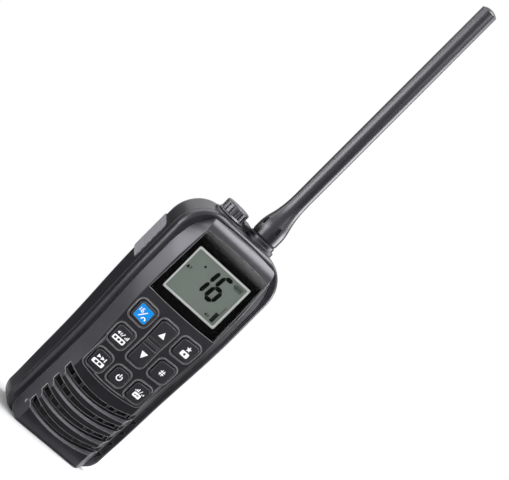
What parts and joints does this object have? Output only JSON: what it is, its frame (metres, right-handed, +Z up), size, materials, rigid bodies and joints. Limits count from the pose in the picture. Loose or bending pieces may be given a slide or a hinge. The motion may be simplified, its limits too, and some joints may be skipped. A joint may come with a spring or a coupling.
{
  "type": "handheld vhf marine radio",
  "caption": "Handheld marine radio with display window, rubber keypad, slotted loudspeaker grille, side talk key, whip antenna, screw jack cap and latched rear battery pack.",
  "frame": {"origin": "on the flat base, under the middle of the body", "axes": "+X to the viewer's right, front faces -Y, +Z up along the antenna"},
  "size_m": [0.063, 0.0402, 0.2999],
  "materials": {
    "case_plastic": "fine satin moulded texture, black",
    "front_plastic": "fine satin moulded texture, charcoal black",
    "window": "clear hard-coated window",
    "mask_print": "black print behind the window",
    "lcd_white": "white moulded frame",
    "lcd_glass": "grey-green reflective display",
    "light_guide": "clear acrylic light guide",
    "key_rubber": "silicone rubber with printed legends",
    "key_blue": "blue printed face",
    "mat_rubber": "silicone mat",
    "talk_rubber": "soft grey rubber",
    "seal_rubber": "soft black seal",
    "antenna_rubber": "satin black moulded rubber",
    "cap_plastic": "satin black",
    "steel": "stainless",
    "brass": "machined brass",
    "contacts": "gold plated",
    "board": "green solder mask",
    "chassis_metal": "die cast",
    "speaker_paper": "mylar cone",
    "speaker_cloth": "black waterproof cloth",
    "magnet": "plated magnet",
    "electronics": "moulded housing",
    "pack_plastic": "fine satin moulded texture, black",
    "cell_wrap": "prismatic lithium cells in metal cans"
  },
  "bodies": {
    "root": {"rear_case": "case_plastic", "front_case": "front_plastic", "display_window": "window", "clip_inserts": "brass", "window_mask": "mask_print", "lcd_frame": "lcd_white", "lcd_panel": "lcd_glass", "backlight_guide": "light_guide", "keypad_mat": "mat_rubber", "snap_domes": "steel", "logic_board": "board", "board_connector": "electronics", "speaker_basket": "steel", "speaker_cone": "speaker_paper", "speaker_magnet": "magnet", "speaker_gasket": "seal_rubber", "speaker_membrane": "speaker_cloth", "microphone": "electronics", "microphone_boot": "seal_rubber", "chassis": "chassis_metal", "main_board": "board", "rf_shield": "steel", "board_screws": "steel", "case_screws": "steel", "antenna_socket": "brass", "jack_socket": "brass", "ptt_switch": "steel", "case_terminals": "brass", "case_seal": "seal_rubber"},
    "calling_key": {"key_calling": "key_rubber", "key_calling_face": "key_blue"},
    "volume_key": {"key_volume": "key_rubber"},
    "scan_key": {"key_scan": "key_rubber"},
    "favourite_key": {"key_favourite": "key_rubber"},
    "channel_key": {"key_channel": "key_rubber"},
    "output_key": {"key_output": "key_rubber"},
    "power_key": {"key_power": "key_rubber"},
    "rocker_key": {"key_rocker": "key_rubber"},
    "talk_key": {"ptt_button": "talk_rubber", "ptt_plunger": "case_plastic"},
    "jack_cap_lift": {"jack_cap_seal": "seal_rubber"},
    "jack_cap": {"jack_cap": "cap_plastic"},
    "antenna_lift": {"antenna_seal": "seal_rubber"},
    "antenna": {"antenna_sheath": "antenna_rubber", "antenna_core": "steel", "antenna_plug": "brass"},
    "battery": {"battery_cover": "pack_plastic", "battery_tray": "pack_plastic", "battery_cells": "cell_wrap", "battery_board": "board", "battery_pads": "contacts", "charging_terminals": "contacts"},
    "latch": {"battery_latch": "pack_plastic"}
  },
  "joints": [
    {"name": "calling_key_press", "type": "slide", "parent": "root", "child": "calling_key", "axis": [0, 1, 0], "range_m": [0, 0.0005], "stiffness_N_per_m": 1500, "springref_m": -0.0004},
    {"name": "volume_key_press", "type": "slide", "parent": "root", "child": "volume_key", "axis": [0, 1, 0], "range_m": [0, 0.0005], "stiffness_N_per_m": 1500, "springref_m": -0.0004},
    {"name": "scan_key_press", "type": "slide", "parent": "root", "child": "scan_key", "axis": [0, 1, 0], "range_m": [0, 0.0005], "stiffness_N_per_m": 1500, "springref_m": -0.0004},
    {"name": "favourite_key_press", "type": "slide", "parent": "root", "child": "favourite_key", "axis": [0, 1, 0], "range_m": [0, 0.0005], "stiffness_N_per_m": 1500, "springref_m": -0.0004},
    {"name": "channel_key_press", "type": "slide", "parent": "root", "child": "channel_key", "axis": [0, 1, 0], "range_m": [0, 0.0005], "stiffness_N_per_m": 1500, "springref_m": -0.0004},
    {"name": "output_key_press", "type": "slide", "parent": "root", "child": "output_key", "axis": [0, 1, 0], "range_m": [0, 0.0005], "stiffness_N_per_m": 1500, "springref_m": -0.0004},
    {"name": "power_key_press", "type": "slide", "parent": "root", "child": "power_key", "axis": [0, 1, 0], "range_m": [0, 0.0005], "stiffness_N_per_m": 1500, "springref_m": -0.0004},
    {"name": "rocker_key_tilt", "type": "hinge", "parent": "root", "child": "rocker_key", "pos_m": [0, -0.0152, 0.0729], "axis": [1, 0, 0], "range_deg": [-3, 3], "stiffness_Nm_per_rad": 0.2},
    {"name": "talk_key_press", "type": "slide", "parent": "root", "child": "talk_key", "axis": [1, 0, 0], "range_m": [0, 0.0009], "stiffness_N_per_m": 1500, "springref_m": -0.0006},
    {"name": "jack_cap_rise", "type": "slide", "parent": "root", "child": "jack_cap_lift", "axis": [0, 0, 1], "range_m": [0, 0.0031]},
    {"name": "jack_cap_turn", "type": "hinge", "parent": "jack_cap_lift", "child": "jack_cap", "pos_m": [-0.0103, 0.001, 0.145], "axis": [0, 0, 1], "range_deg": [0, 1080]},
    {"name": "antenna_rise", "type": "slide", "parent": "root", "child": "antenna_lift", "axis": [0, 0, 1], "range_m": [0, 0.0041]},
    {"name": "antenna_turn", "type": "hinge", "parent": "antenna_lift", "child": "antenna", "pos_m": [0.0103, 0.001, 0.147], "axis": [0, 0, 1], "range_deg": [0, 1440]},
    {"name": "battery_draw", "type": "slide", "parent": "root", "child": "battery", "axis": [0, 1, 0], "range_m": [0, 0.03]},
    {"name": "latch_release", "type": "slide", "parent": "battery", "child": "latch", "axis": [0, 0, -1], "range_m": [0, 0.002], "stiffness_N_per_m": 500, "springref_m": -0.002}
  ],
  "couplings": [
    {"joint": "jack_cap_rise", "follows": "jack_cap_turn", "m_per_rad": 0.00015915},
    {"joint": "antenna_rise", "follows": "antenna_turn", "m_per_rad": 0.00015915}
  ]
}
